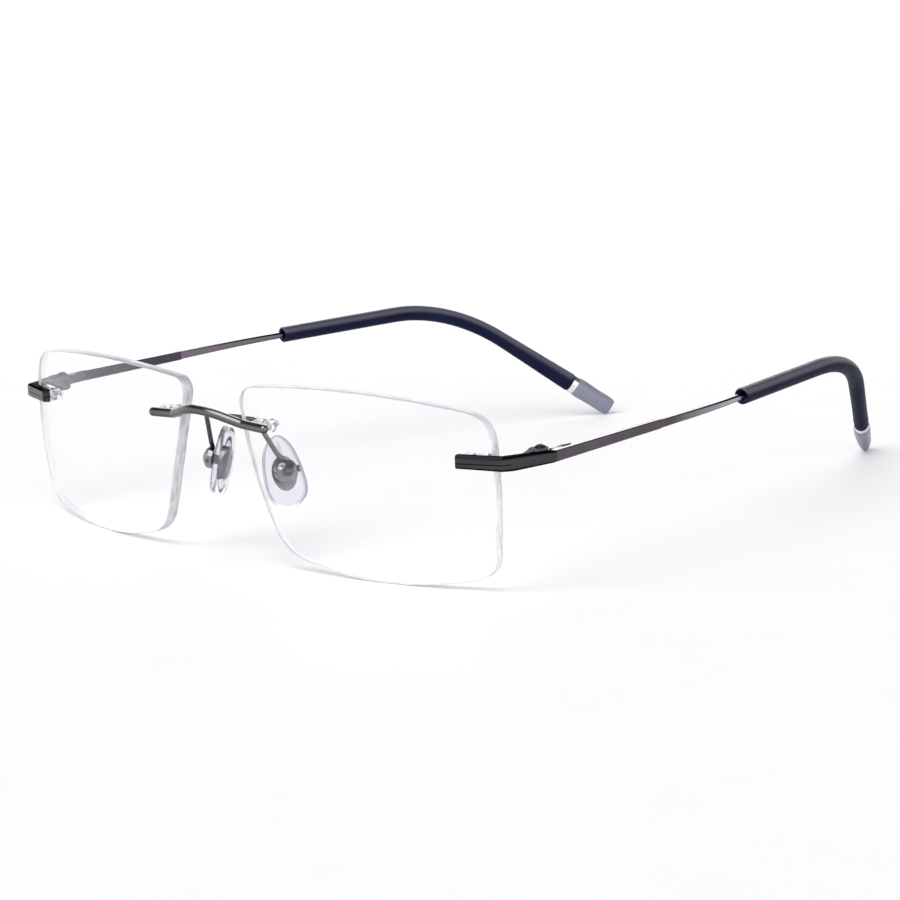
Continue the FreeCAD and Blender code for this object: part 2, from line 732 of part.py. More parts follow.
def sleeve_body(route):
    """Round along the straight and the ear bend, then oval and deeper towards the tip."""
    bend_end = sum(leg.length for leg in route.legs[:4])
    bevel_end = SLEEVE_START + SLEEVE_MOUTH_BEVEL
    across = 2 * SLEEVE_R
    mouth_across = across - 2 * SLEEVE_MOUTH_BEVEL
    mouth = Part.makeLoft([
        oval(route, SLEEVE_START, mouth_across, mouth_across),
        oval(route, bevel_end, across, across),
    ], True, True)
    tube = route.rod(bevel_end, bend_end, SLEEVE_R)
    drop = SLEEVE_END - bend_end
    lip_start = SLEEVE_END - SLEEVE_LIP_LENGTH
    sections = [oval(route, bend_end, across, across)]
    for share, height, thickness in SLEEVE_TAIL:
        sections.append(oval(route, bend_end + share * drop, height, thickness))
    sections.append(oval(route, lip_start, SLEEVE_END_HEIGHT, SLEEVE_END_THICKNESS))
    tail = Part.makeLoft(sections, True, False)
    lip_height = SLEEVE_END_HEIGHT - 2 * SLEEVE_LIP_BEVEL
    lip_thickness = SLEEVE_END_THICKNESS - 2 * SLEEVE_LIP_BEVEL
    lip = Part.makeLoft([
        oval(route, lip_start, SLEEVE_END_HEIGHT, SLEEVE_END_THICKNESS),
        oval(route, SLEEVE_END, lip_height, lip_thickness),
    ], True, True)
    return mouth.fuse([tube, tail, lip])


def temple_sleeve():
    route = temple_route()
    body = sleeve_body(route)
    body = body.cut(route.rod(SLEEVE_START - 0.5, CORE_WIRE_END + 0.1, SLEEVE_BORE_R))
    mouth, along = route.place(SLEEVE_START)
    cone = Part.makeCone(SLEEVE_MOUTH_R, SLEEVE_BORE_R, SLEEVE_MOUTH_DEPTH, mouth, along)
    body = body.cut(cone)
    body = body.cut(spigot(route, FIT_GAP, SPIGOT_START - 0.1, SLEEVE_END + 1))
    return body.removeSplitter()


def spigot(route, gap, first, last):
    return cylinder(SPIGOT_R + gap, route.place(first)[0], route.place(last)[0])


def tip_ring():
    route = temple_route()
    end = SLEEVE_END + RING_LENGTH
    band = Part.makeLoft([
        oval(route, SLEEVE_END, RING_HEIGHT, RING_THICKNESS),
        oval(route, end, RING_HEIGHT, RING_THICKNESS),
    ], True, True)
    return band.cut(spigot(route, FIT_GAP, SLEEVE_END - 1, end + 1))


def tip_cap():
    """Wedge-shaped end cap: its inner face slants out to a thin rounded tip."""
    route = temple_route()
    start = SLEEVE_END + RING_LENGTH
    step = 2 * CAP_EDGE_BEVEL
    shoulder = Part.makeLoft([
        oval(route, start, CAP_HEIGHT - step, CAP_THICKNESS - step),
        oval(route, start + CAP_SHOULDER, CAP_HEIGHT, CAP_THICKNESS),
    ], True, True)
    sections = [oval(route, start + CAP_SHOULDER, CAP_HEIGHT, CAP_THICKNESS)]
    for distance, height, thickness, outward in CAP_WEDGE:
        sections.append(oval(route, start + distance, height, thickness, outward))
    wedge = Part.makeLoft(sections, True, False)
    return shoulder.fuse([wedge, spigot(route, 0, SPIGOT_START, start + 0.1)]).removeSplitter()


# ---- nose pads -----------------------------------------------------------------------------------------------
# The pad pieces are drawn with X from the pad towards its box, Y towards the ears and Z up.

def pad_placement():
    flare = FreeCAD.Rotation(BACK, -PAD_FLARE)
    splay = FreeCAD.Rotation(UP, -PAD_SPLAY)
    return FreeCAD.Placement(PAD_CENTRE, flare.multiply(splay))


def at_pad(shape):
    placed = shape.copy()
    placed.Placement = pad_placement().multiply(placed.Placement)
    return placed


def pad_outline(x, shrink):
    """Drop-shaped outline, wider at the lower end, with a straighter rear side."""
    low = PAD_WIDTH_LOW / 2 - shrink
    high = PAD_WIDTH_HIGH / 2 - shrink
    half = PAD_LENGTH / 2 - shrink
    points = [
        V(x, 0, half),
        V(x, -0.86 * high, 0.66 * half),
        V(x, -low, -0.12 * half),
        V(x, -0.84 * low, -0.72 * half),
        V(x, 0, -half),
        V(x, 0.84 * low, -0.72 * half),
        V(x, 0.93 * low, -0.12 * half),
        V(x, 0.72 * high, 0.66 * half),
    ]
    curve = Part.BSplineCurve()
    curve.interpolate(points, PeriodicFlag=True)
    return Part.Wire(curve.toShape())


def insert_shape(gap):
    """Oval metal plate inside the pad with the lug that stands out of it into the box."""
    plate = Part.makeCylinder(1, INSERT_THICKNESS + 2 * gap, V(-0.2 - gap, 0, 0), ACROSS)
    matrix = FreeCAD.Matrix()
    matrix.scale(1, INSERT_HALF_WIDTH + gap, INSERT_HALF_LENGTH + gap)
    plate = plate.transformGeometry(matrix)
    plate.translate(UP * -INSERT_BELOW_CENTRE)
    width = LUG_HALF_WIDTH + gap
    stem = Part.makeBox(PAD_PIVOT, 2 * width, 2 * (LUG_R + gap), V(0, -width, -LUG_R - gap))
    eye = Part.makeCylinder(LUG_R + gap, 2 * width, V(PAD_PIVOT, -width, 0), BACK)
    return plate.fuse([stem, eye])


def nose_pad():
    pad = Part.makeLoft([
        pad_outline(PAD_BOX_SIDE, 0.35),
        pad_outline(PAD_BOX_SIDE - 0.35, 0.0),
        pad_outline(-0.45, 0.0),
        pad_outline(-PAD_NOSE_SIDE + 0.25, 0.7),
        pad_outline(-PAD_NOSE_SIDE, 1.6),
    ], True, True)
    return at_pad(pad.cut(insert_shape(FIT_GAP)))


def pad_insert():
    bore = PAD_SCREW_R + PAD_SCREW_RUNNING_GAP
    plate = insert_shape(0)
    plate = plate.cut(Part.makeCylinder(bore, 4, V(PAD_PIVOT, -2, 0), BACK))
    return at_pad(plate.removeSplitter())


def box_envelope():
    """Outside of the pad box: a short round wall closed by a domed crown."""
    wall = Part.makeCylinder(BOX_R, BOX_CROWN - BOX_RIM, V(BOX_RIM, 0, 0), ACROSS)
    rise = BOX_CROWN - BOX_SHOULDER
    dome_r = (BOX_R ** 2 + rise ** 2) / (2 * rise)
    return wall.common(Part.makeSphere(dome_r, V(BOX_CROWN - dome_r, 0, 0)).fuse(
        Part.makeCylinder(BOX_R, BOX_SHOULDER - BOX_RIM, V(BOX_RIM, 0, 0), ACROSS)))


def pad_box():
    box = box_envelope()
    box = box.cut(Part.makeCylinder(BOX_R - BOX_WALL, BOX_FLOOR, V(0, 0, 0), ACROSS))
    box = box.cut(Part.makeCylinder(PAD_SCREW_R + FIT_GAP, 8, V(PAD_PIVOT, -4, 0), BACK))
    return at_pad(box.removeSplitter())


def pad_screw():
    reach = math.sqrt(BOX_R ** 2 - PAD_SCREW_HEAD_R ** 2)
    shank = Part.makeCylinder(PAD_SCREW_R, 2 * BOX_R - 0.2, V(PAD_PIVOT, 0.2 - BOX_R, 0), BACK)
    head = Part.makeCylinder(PAD_SCREW_HEAD_R, BOX_R - reach + PAD_SCREW_HEAD,
                             V(PAD_PIVOT, reach, 0), BACK)
    head = head.cut(box_envelope())
    slot = Part.makeBox(2, 0.5, 0.2, V(PAD_PIVOT - 1, BOX_R + PAD_SCREW_HEAD - 0.15, -0.1))
    return at_pad(shank.fuse(head).cut(slot).removeSplitter())


def pad_arm():
    """Wire brazed behind the bridge that drops to the top of the pad box."""
    box_top = pad_placement().multVec(V(BOX_SHOULDER - 0.4, 0, BOX_R - 0.2))
    route = Route(PAD_WIRE_CORNERS + (box_top,), PAD_WIRE_RADII)
    wire = route.rod(0, route.length, PAD_WIRE_R)
    wire = wire.cut(at_pad(box_envelope()))
    full_bar = bridge_route().rod(0, bridge_route().length, BRIDGE_BAR_R)
    wire = wire.cut(full_bar)
    return max(wire.Solids, key=lambda solid: solid.Volume)


# ---- all nodes ---------------------------------------------------------------------------------------------------

def left_nodes():
    return {
        "lens": lens(),
        "bridge_studs": studs(bridge_places()),
        "bridge_plug": plug(bridge_places(), ACROSS, BRIDGE_FLANGE_LENGTH),
        "endpiece": endpiece(),
        "endpiece_studs": studs(endpiece_places()),
        "endpiece_plug": plug(endpiece_places(), endpiece_along(), ENDPIECE_FLANGE_LENGTH),
        "hinge_screw": hinge_screw(),
        "temple_leaf": temple_leaf(),
        "temple_arm": temple_arm(),
        "temple_sleeve": temple_sleeve(),
        "tip_ring": tip_ring(),
        "tip_cap": tip_cap(),
        "pad_arm": pad_arm(),
        "pad_box": pad_box(),
        "pad_screw": pad_screw(),
        "pad_insert": pad_insert(),
        "nose_pad": nose_pad(),
    }


def export(name, shape):
    placed = shape.copy()
    placed.translate(BACK * -ORIGIN_TO_LENS)
    placed.exportStep("parts/" + name + ".step")


os.makedirs("parts", exist_ok=True)
export("bridge", bridge())
for node, solid in left_nodes().items():
    export(node + "_left", solid)
    export(node + "_right", mirrored(solid))
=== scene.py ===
import json
import math

import bmesh
import bpy
from mathutils import Matrix, Vector


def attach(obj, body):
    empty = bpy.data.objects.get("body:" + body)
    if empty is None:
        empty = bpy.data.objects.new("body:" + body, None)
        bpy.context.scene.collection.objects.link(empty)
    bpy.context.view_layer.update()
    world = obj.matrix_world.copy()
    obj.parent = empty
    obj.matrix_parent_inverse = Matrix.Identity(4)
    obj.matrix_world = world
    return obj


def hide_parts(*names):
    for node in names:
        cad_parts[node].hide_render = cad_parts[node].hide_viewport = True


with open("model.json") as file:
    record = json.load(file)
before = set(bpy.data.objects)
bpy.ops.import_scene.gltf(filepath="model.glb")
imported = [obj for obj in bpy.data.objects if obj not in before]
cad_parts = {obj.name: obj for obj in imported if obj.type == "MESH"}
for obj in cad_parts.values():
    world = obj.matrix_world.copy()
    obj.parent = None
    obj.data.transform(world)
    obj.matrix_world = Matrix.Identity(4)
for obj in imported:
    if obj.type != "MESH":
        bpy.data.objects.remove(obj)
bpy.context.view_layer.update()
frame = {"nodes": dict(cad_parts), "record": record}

# Rimless eyeglasses, standing open on a pale floor.  Metres, in the frame of the CAD model:
# X across the face towards the wearer's left, Y back along the temples, Z up.

MM = 0.001
SIDES = ("left", "right")

# ---- places repeated from the CAD model ---------------------------------------------------------

ORIGIN_TO_LENS = 65.2 * MM       # lens and pad places count from this far ahead of the origin
LENS_CENTRE = Vector((33.5, -0.5, 16.4)) * MM
LENS_FRONT_RADIUS = 134.0 * MM
LENS_THICKNESS = 2.1 * MM
LENS_WRAP = math.radians(10.4)
LENS_TILT = math.radians(3.2)

ARM_INNER_X = 60.236 * MM        # a point on the inner face of the endpiece's side arm
ARM_INNER_Y = -58.014 * MM
ARM_INNER_SLOPE = 0.2817         # X gained per Y along that face
ARM_TOP = 23.88 * MM
WEB_START_Y = -56.4 * MM         # where the web of the hinge leaves the side arm
BAR_MIDDLE = 22.65 * MM          # half way up the endpiece's front bar
BAR_END_Y = -58.0 * MM           # where the front bar ends and the side arm begins
# height of the bar's groove, where a dark reflection line is painted
GROOVE_HEIGHT = 22.55 * MM

TEMPLE_STEP_Y = -21.0 * MM       # where the inner face of a temple steps down
TEMPLE_PALE_START_Y = -18.0 * MM   # its outer face grows paler from here ...
TEMPLE_PALE_END_Y = 0.0            # ... to here

PAD_CENTRE = Vector((8.2, 6.7, 15.4)) * MM
PAD_SPLAY = math.radians(30.0)
PAD_FLARE = math.radians(15.0)
PAD_LENGTH = 13.0 * MM
PAD_WIDTH_LOW = 7.3 * MM
PAD_WIDTH_HIGH = 6.2 * MM
PAD_BOX_SIDE = 1.1 * MM
PAD_NOSE_SIDE = 1.35 * MM

# ---- meshes -------------------------------------------------------------------------------------

WELD_REACH = 0.0001 * MM         # corners closer than this are one
SHORTEST_EDGE = 0.003 * MM       # edges below this are dissolved in a sleeve
SLEEVE_CREASE = math.radians(35)
ON_THE_BALL = 0.01 * MM          # how far off its ball a corner of a polished face may lie
PAD_OUTLINE_STEPS = 10           # between each two of the outline's eight points
PAD_EDGE_STEPS = 4
PAD_CROWN_STEPS = 7

# ---- camera -------------------------------------------------------------------------------------

CAMERA_PLACE = Vector((0.49196, -0.50285, 0.14980))
CAMERA_AZIMUTH = 44.93
CAMERA_ELEVATION = 11.36
CAMERA_ROLL = -2.175
CAMERA_LENS = 153.3
CAMERA_SENSOR = 36.0

# ---- noise, in features per metre ---------------------------------------------------------------

METAL_CLOUDS = 140
METAL_PATCHES = 420
METAL_GRAIN = 1500
RUBBER_CLOUDS = 90
RUBBER_PATCHES = 700
CLEAR_CLOUDS = 300
CLEAR_SKIN = 900
LENS_SMEARS = 120
RIM_STREAKS_ACROSS = 1800
RIM_STREAKS_ALONG = 420
FLOOR_FIBRES = 40

# ---- colours laid over a finish where a mask says so ----------------------------------------------

# painted black reflection: endpiece faces that look up or down, and a line along its bar's groove
PAINTED_BLACK_REFLECTION = (0.006, 0.0055, 0.006)
# painted dark reflection along the endpiece bar's top and bottom edges
BAR_RIM_REFLECTION_BLACK = (0.022, 0.020, 0.024)
HINGE_GREY = (0.14, 0.135, 0.16)
# painted shade along the bridge's underside
UNDERSIDE_SHADE_BLACK = (0.03, 0.027, 0.032)
# painted dark reflection on the temples' bevels
TEMPLE_BEVEL_REFLECTION_BLACK = (0.02, 0.017, 0.02)
TEMPLE_INNER_AHEAD = (0.078, 0.068, 0.084)
TEMPLE_INNER_BEHIND = (0.20, 0.165, 0.20)
TEMPLE_OUTER_REAR = (0.40, 0.37, 0.42)
# painted reflection on the pad box's crown
BOX_CROWN_REFLECTION_BLUE = (0.075, 0.078, 0.10)
# painted sheen along the sleeve's top
SLEEVE_SHEEN = (0.085, 0.082, 0.118)
# painted shade: the dark line round a clear pad's rim
PAD_RIM_SHADE_VIOLET = (0.26, 0.24, 0.36)
# painted shade on the lens rim's upper and lower runs
RIM_SHADE_GREY = (0.40, 0.40, 0.45)
WHITE = (1, 1, 1)
GRAZING_GREY = (0.12, 0.12, 0.13)     # mirror tint of a black face seen at a slant, so the painted black reflection stays dark


def lens_ball_centre(side):
    """Centre of the ball that the lens front lies on."""
    turn = Matrix.Rotation(LENS_WRAP, 3, "Z") @ Matrix.Rotation(LENS_TILT, 3, "X")
    centre = LENS_CENTRE + turn @ Vector((0, LENS_FRONT_RADIUS, 0))
    centre.y -= ORIGIN_TO_LENS
    if side == "right":
        centre.x = -centre.x
    return centre


def pad_turn():
    """How a left nose pad and its box are turned."""
    return Matrix.Rotation(-PAD_FLARE, 4, "Y") @ Matrix.Rotation(-PAD_SPLAY, 4, "Z")


# ---- how a finish is put together -----------------------------------------------------------------

class Finish:
    """A procedural material built round one Principled shader."""

    def __init__(self, name, **inputs):
        self.material = bpy.data.materials.new(name)
        self.material.use_nodes = True
        self.nodes = self.material.node_tree.nodes
        self.links = self.material.node_tree.links
        self.nodes.clear()
        self.shader = self.node("BsdfPrincipled")
        self.output = self.node("OutputMaterial")
        self.links.new(self.shader.outputs["BSDF"], self.output.inputs["Surface"])
        for key, value in inputs.items():
            self.put(key.replace("_", " "), value)

    def node(self, kind, **settings):
        node = self.nodes.new("ShaderNode" + kind)
        for key, value in settings.items():
            setattr(node, key, value)
        return node

    def fill(self, socket, value):
        """Give a socket a plain value, or the output of another node."""
        if isinstance(value, bpy.types.NodeSocket):
            self.links.new(value, socket)
        else:
            socket.default_value = value

    def put(self, name, value):
        """Set an input of the shader."""
        self.fill(self.shader.inputs[name], value)

    def paint(self, mask, colour):
        """Lay another colour over the finish where the mask is 1."""
        self.over("Base Color", mask, colour)

    def over(self, name, mask, value):
        """Lay a value over what already feeds a shader input, where the mask is 1."""
        socket = self.shader.inputs[name]
        colour = socket.type == "RGBA"
        mix = self.node("Mix", data_type="RGBA" if colour else "FLOAT")
        self.links.new(mask, mix.inputs["Factor"])
        self.links.new(socket.links[0].from_socket, mix.inputs["A"])
        mix.inputs["B"].default_value = (*value, 1) if colour else value
        self.links.new(mix.outputs["Result"], socket)

    def calculate(self, operation, first, second=0.0):
        node = self.node("Math", operation=operation)
        self.fill(node.inputs[0], first)
        self.fill(node.inputs[1], second)
        return node.outputs["Value"]

    def both(self, first, second):
        """1 only where two masks are 1."""
        return self.calculate("MULTIPLY", first, second)

    def opposite(self, mask):
        return self.calculate("SUBTRACT", 1.0, mask)

    def distance(self, value, middle):
        return self.calculate("ABSOLUTE", self.calculate("SUBTRACT", value, middle))

    def vector(self, x, y, z):
        node = self.node("CombineXYZ")
        for axis, value in zip("XYZ", (x, y, z)):
            self.fill(node.inputs[axis], value)
        return node.outputs["Vector"]

    def place(self, output="Object"):
        """X, Y and Z of the piece's own coordinates, or of its own normal."""
        source = self.node("TexCoord")
        split = self.node("SeparateXYZ")
        self.links.new(source.outputs[output], split.inputs["Vector"])
        return split.outputs["X"], split.outputs["Y"], split.outputs["Z"]

    def upward(self):
        """How far the surface faces up: 1 on top, -1 underneath."""
        return self.place("Normal")[2]

    def level(self):
        """How level the surface lies: 1 on top or underneath, 0 on an upright side."""
        return self.calculate("ABSOLUTE", self.upward())

    def outward(self):
        """How far the surface faces away from the middle plane: 1 on an outer side, -1 on an inner one."""
        across, _, _ = self.place()
        facing, _, _ = self.place("Normal")
        return self.calculate("MULTIPLY", facing, self.calculate("SIGN", across))

    def spread(self, value, low, high, start=0.3, end=0.7):
        """Map the stretch from start to end onto low to high, and hold those beyond it."""
        ramp = self.node("MapRange")
        ramp.inputs["From Min"].default_value = start
        ramp.inputs["From Max"].default_value = end
        ramp.inputs["To Min"].default_value = low
        ramp.inputs["To Max"].default_value = high
        self.links.new(value, ramp.inputs["Value"])
        return ramp.outputs["Result"]

    def rising(self, value, start, end):
        """A mask: 0 before start and 1 past end."""
        return self.spread(value, 0.0, 1.0, start, end)

    def falling(self, value, start, end):
        """A mask: 1 before start and 0 past end."""
        return self.spread(value, 1.0, 0.0, start, end)

    def blend(self, value, first, second, start=0.3, end=0.7):
        """The first colour up to start, the second from end on."""
        node = self.node("ValToRGB")
        for element, colour, position in zip(node.color_ramp.elements, (first, second), (start, end)):
            element.color = (*colour, 1)
            element.position = position
        self.links.new(value, node.inputs["Fac"])
        return node.outputs["Color"]

    def noise_at(self, vector, scale, detail=3.0, roughness=0.5):
        noise = self.node("TexNoise")
        noise.inputs["Scale"].default_value = scale
        noise.inputs["Detail"].default_value = detail
        noise.inputs["Roughness"].default_value = roughness
        self.links.new(vector, noise.inputs["Vector"])
        return noise.outputs["Fac"]

    def noise(self, scale, stretch=(1, 1, 1), detail=3.0, roughness=0.5):
        """Noise over the piece's own coordinates."""
        source = self.node("TexCoord")
        mapping = self.node("Mapping")
        mapping.inputs["Scale"].default_value = stretch
        self.links.new(source.outputs["Object"], mapping.inputs["Vector"])
        return self.noise_at(mapping.outputs["Vector"], scale, detail, roughness)

    def bump(self, height, distance, strength):
        node = self.node("Bump")
        node.inputs["Distance"].default_value = distance
        node.inputs["Strength"].default_value = strength
        self.links.new(height, node.inputs["Height"])
        self.put("Normal", node.outputs["Normal"])

    def let_lamps_through(self, tint):
        """Rays that only look for a lamp pass straight through, so the piece casts a pale shadow."""
        path = self.node("LightPath")
        clear = self.node("BsdfTransparent")
        clear.inputs["Color"].default_value = (*tint, 1)
        mix = self.node("MixShader")
        self.links.new(path.outputs["Is Shadow Ray"], mix.inputs["Fac"])
        self.links.new(self.shader.outputs["BSDF"], mix.inputs[1])
        self.links.new(clear.outputs["BSDF"], mix.inputs[2])
        self.links.new(mix.outputs["Shader"], self.output.inputs["Surface"])


# ---- metals ---------------------------------------------------------------------------------------

def metal(name, first, second, rough, stretch=(1, 1, 1)):
    """Polished or satin metal: faint tone clouds, roughness patches and a fine grain."""
    finish = Finish(name, Metallic=1.0)
    finish.put("Base Color", finish.blend(finish.noise(METAL_CLOUDS), first, second))
    finish.put("Roughness", finish.spread(finish.noise(METAL_PATCHES, stretch), *rough))
    finish.bump(finish.noise(METAL_GRAIN, stretch, 2.0), 0.02 * MM, 0.25)
    return finish


def hinge_mask(finish, across, along, height):
    """1 on the hinge of an endpiece: inside or above the side arm, from the web backwards."""
    gained = finish.calculate("MULTIPLY", finish.calculate("SUBTRACT", along, ARM_INNER_Y), ARM_INNER_SLOPE)
    face = finish.calculate("ADD", gained, ARM_INNER_X)
    inward = finish.calculate("SUBTRACT", face, finish.calculate("ABSOLUTE", across))
    beside = finish.rising(inward, 0.0, 0.04 * MM)
    above = finish.rising(height, ARM_TOP + 0.01 * MM, ARM_TOP + 0.05 * MM)
    behind = finish.rising(along, WEB_START_Y, WEB_START_Y + 0.5 * MM)
    return finish.both(finish.calculate("MAXIMUM", beside, above), behind)


def endpiece_metal():
    """Black plating with painted dark reflection: blacker on top, underneath and round the bar's edges,
    with a dark line along its groove; a satin lilac-grey hinge.

    The faces painted black don't flare up at a grazing view.
    """
    finish = metal("endpiece_metal", (0.050, 0.046, 0.050), (0.075, 0.070, 0.075), (0.16, 0.28))
    across, along, height = finish.place()
    # painted dark reflection: faces that look up or down are painted black
    level = finish.rising(finish.level(), 0.3, 0.45)
    finish.paint(level, PAINTED_BLACK_REFLECTION)
    # painted dark reflection: the bar's top and bottom edges are painted black
    rim = finish.rising(finish.distance(height, BAR_MIDDLE), 0.62 * MM, 0.95 * MM)
    finish.paint(rim, BAR_RIM_REFLECTION_BLACK)
    # painted dark reflection: a black line along the bar's groove
    line = finish.falling(finish.distance(height, GROOVE_HEIGHT), 0.06 * MM, 0.12 * MM)
    front = finish.falling(along, BAR_END_Y, BAR_END_Y + 1.0 * MM)
    finish.paint(finish.both(line, front), PAINTED_BLACK_REFLECTION)
    hinge = hinge_mask(finish, across, along, height)
    finish.paint(hinge, HINGE_GREY)
    finish.over("Roughness", hinge, 0.45)
    # the mirror on the faces painted black is dulled, less so on the hinge, so the painted dark reflection
    # holds
    less_on_hinge = finish.opposite(finish.calculate("MULTIPLY", hinge, 0.3))
    dull = finish.both(level, less_on_hinge)
    finish.put("Specular Tint", finish.blend(dull, WHITE, GRAZING_GREY, 0.0, 1.0))
    return finish


def bridge_metal():
    """Polished gunmetal wire, with painted shade along its underside."""
    finish = metal("bridge_metal", (0.135, 0.125, 0.126), (0.19, 0.178, 0.178), (0.14, 0.26))
    # painted shade: faces turned down are painted near-black
    finish.paint(finish.falling(finish.upward(), -0.60, -0.10), UNDERSIDE_SHADE_BLACK)
    return finish


def temple_metal():
    """Mauve-grey satin bar: bevels painted black as dark reflection, a stepped inner face and a paler outer
    face at the rear.
    """
    finish = metal("temple_metal", (0.088, 0.070, 0.085), (0.118, 0.098, 0.114),
                   (0.22, 0.36), (1, 0.08, 1))
    _, along, _ = finish.place()
    outward = finish.outward()
    inner = finish.falling(outward, -0.9, -0.6)
    behind = finish.rising(along, TEMPLE_STEP_Y - 0.3 * MM, TEMPLE_STEP_Y + 0.3 * MM)
    finish.paint(finish.both(inner, finish.opposite(behind)), TEMPLE_INNER_AHEAD)
    finish.paint(finish.both(inner, behind), TEMPLE_INNER_BEHIND)
    outer = finish.rising(outward, 0.6, 0.9)
    rear = finish.rising(along, TEMPLE_PALE_START_Y, TEMPLE_PALE_END_Y)
    finish.paint(finish.both(outer, rear), TEMPLE_OUTER_REAR)
    level = finish.level()
    # painted dark reflection: the bevels are painted black
    bevels = finish.both(finish.rising(level, 0.35, 0.5), finish.falling(level, 0.86, 0.96))
    finish.paint(bevels, TEMPLE_BEVEL_REFLECTION_BLACK)
    return finish


def along_pad_axis(finish):
    """How far the surface faces along the pad's own axis: 1 or -1 on its broad faces, 0 round its rim."""
    _, y, z = finish.place("Normal")
    facing = finish.node("VectorMath", operation="DOT_PRODUCT")
    finish.fill(facing.inputs[0], finish.vector(finish.outward(), y, z))
    finish.fill(facing.inputs[1], pad_turn().to_3x3() @ Vector((1, 0, 0)))
    return facing.outputs["Value"]


def pad_box_metal():
    """Polished box: pale wall and a crown painted dark blue-grey as a reflection."""
    finish = metal("pad_box_metal", (0.20, 0.195, 0.215), (0.27, 0.265, 0.29), (0.12, 0.22))
    # painted reflection: the crown, facing along the pad's axis, is painted dark blue-grey
    finish.paint(finish.rising(along_pad_axis(finish), 0.86, 0.95), BOX_CROWN_REFLECTION_BLUE)
    return finish


# ---- rubber and plastic ---------------------------------------------------------------------------

def rubber(name, first, second, rough, grain, relief, gloss=0.5):
    """Moulded rubber or plastic with a fine skin; grain counts features per metre."""
    finish = Finish(name, Specular_IOR_Level=gloss)
    finish.put("Base Color", finish.blend(finish.noise(RUBBER_CLOUDS), first, second))
    finish.put("Roughness", finish.spread(finish.noise(RUBBER_PATCHES), *rough))
    finish.bump(finish.noise(grain, detail=2.0), relief, 0.35)
    return finish


def sleeve_rubber():
    """Navy rubber with a painted grey-lilac sheen along its top and a duller underside."""
    finish = rubber("sleeve_rubber", (0.006, 0.008, 0.026), (0.010, 0.013, 0.036),
                    (0.38, 0.50), 2600, 0.02 * MM)
    upward = finish.upward()
    # painted sheen: a grey-lilac band on faces turned half up
    sheen_band = finish.both(finish.rising(upward, 0.15, 0.50), finish.falling(upward, 0.70, 0.92))
    finish.paint(sheen_band, SLEEVE_SHEEN)
    finish.put("Specular IOR Level", finish.spread(upward, 0.04, 0.28, 0.05, 0.65))
    return finish


# ---- clear materials ------------------------------------------------------------------------------

def lens_face_glass():
    """Polished face with the faintest smears."""
    finish = Finish("lens_face", Transmission_Weight=1.0, IOR=1.38, Base_Color=(0.995, 0.997, 1.0, 1))
    smears = finish.noise(LENS_SMEARS, (1, 1, 1), 4.0, 0.6)
    finish.put("Roughness", finish.spread(smears, 0.0, 0.02, 0.45, 0.75))
    finish.let_lamps_through((0.97, 0.97, 0.98))
    return finish


def lens_edge_glass():
    """The ground rim: nearly opaque, with painted grey shade on its upper and lower runs, streaked along
    its length.
    """
    finish = Finish("lens_edge", Alpha=0.8, IOR=1.5)
    across, along, height = finish.place()
    depth = finish.node("VectorMath", operation="DISTANCE")
    finish.fill(depth.inputs[0], finish.vector(finish.calculate("ABSOLUTE", across), along, height))
    finish.fill(depth.inputs[1], lens_ball_centre("left"))
    streaks = finish.vector(finish.calculate("MULTIPLY", depth.outputs["Value"], RIM_STREAKS_ACROSS),
                            finish.calculate("MULTIPLY", across, RIM_STREAKS_ALONG),
                            finish.calculate("MULTIPLY", height, RIM_STREAKS_ALONG))
    flaws = finish.noise_at(streaks, 1.0)
    finish.put("Base Color", finish.blend(flaws, (0.60, 0.60, 0.65), (0.99, 0.99, 1.0)))
    # painted shade: the rim's upper and lower runs are painted grey
    finish.paint(finish.rising(finish.level(), 0.45, 0.95), RIM_SHADE_GREY)
    finish.put("Roughness", finish.spread(flaws, 0.25, 0.45))
    finish.bump(flaws, 0.03 * MM, 0.3)
    return finish


def soft_clear(name, tint, rough, ior):
    """Clear silicone or nylon with a slightly uneven skin."""
    finish = Finish(name, Transmission_Weight=1.0, IOR=ior)
    clouds = finish.noise(CLEAR_CLOUDS)
    deeper = tuple(channel * 0.94 for channel in tint)
    finish.put("Base Color", finish.blend(clouds, deeper, tint))
    finish.put("Roughness", finish.spread(clouds, *rough))
    finish.bump(finish.noise(CLEAR_SKIN), 0.03 * MM, 0.2)
    finish.let_lamps_through(tint)
    return finish


def pad_silicone():
    """Clear silicone with a violet-grey line of painted shade round its outer face."""
    finish = soft_clear("pad_silicone", (0.86, 0.85, 0.91), (0.08, 0.18), 1.30)
    facing = along_pad_axis(finish)
    # painted shade: a violet-grey line where the surface turns from rim to broad face
    line = finish.both(finish.rising(facing, 0.15, 0.35), finish.falling(facing, 0.80, 0.94))
    finish.paint(line, PAD_RIM_SHADE_VIOLET)
    return finish


# ---- which piece wears which finish ---------------------------------------------------------------

LENS_EDGE = lens_edge_glass()

# by material slot in the record
FINISHES = {
    "lens_clear": lens_face_glass(),
    "bridge_gunmetal": bridge_metal(),
    "endpiece_dark": endpiece_metal(),
    "temple_gunmetal": temple_metal(),
    "stud_steel": metal("stud_metal", (0.45, 0.45, 0.47), (0.6, 0.6, 0.62), (0.15, 0.28)),
    "screw_dark": metal("screw_metal", (0.10, 0.095, 0.10), (0.16, 0.15, 0.16), (0.10, 0.22)),
    "ring_silver": metal("ring_metal", (0.75, 0.74, 0.70), (0.85, 0.84, 0.80), (0.15, 0.25)),
    "insert_grey": metal("insert_metal", (0.19, 0.19, 0.205), (0.25, 0.25, 0.27), (0.25, 0.4)),
    "sleeve_navy": sleeve_rubber(),
    "cap_grey": rubber("cap_plastic", (0.18, 0.185, 0.25), (0.22, 0.225, 0.30),
                       (0.26, 0.38), 1800, 0.02 * MM),
    "pad_clear": pad_silicone(),
    "plug_clear": soft_clear("plug_nylon", (0.92, 0.92, 0.95), (0.05, 0.12), 1.42),
}

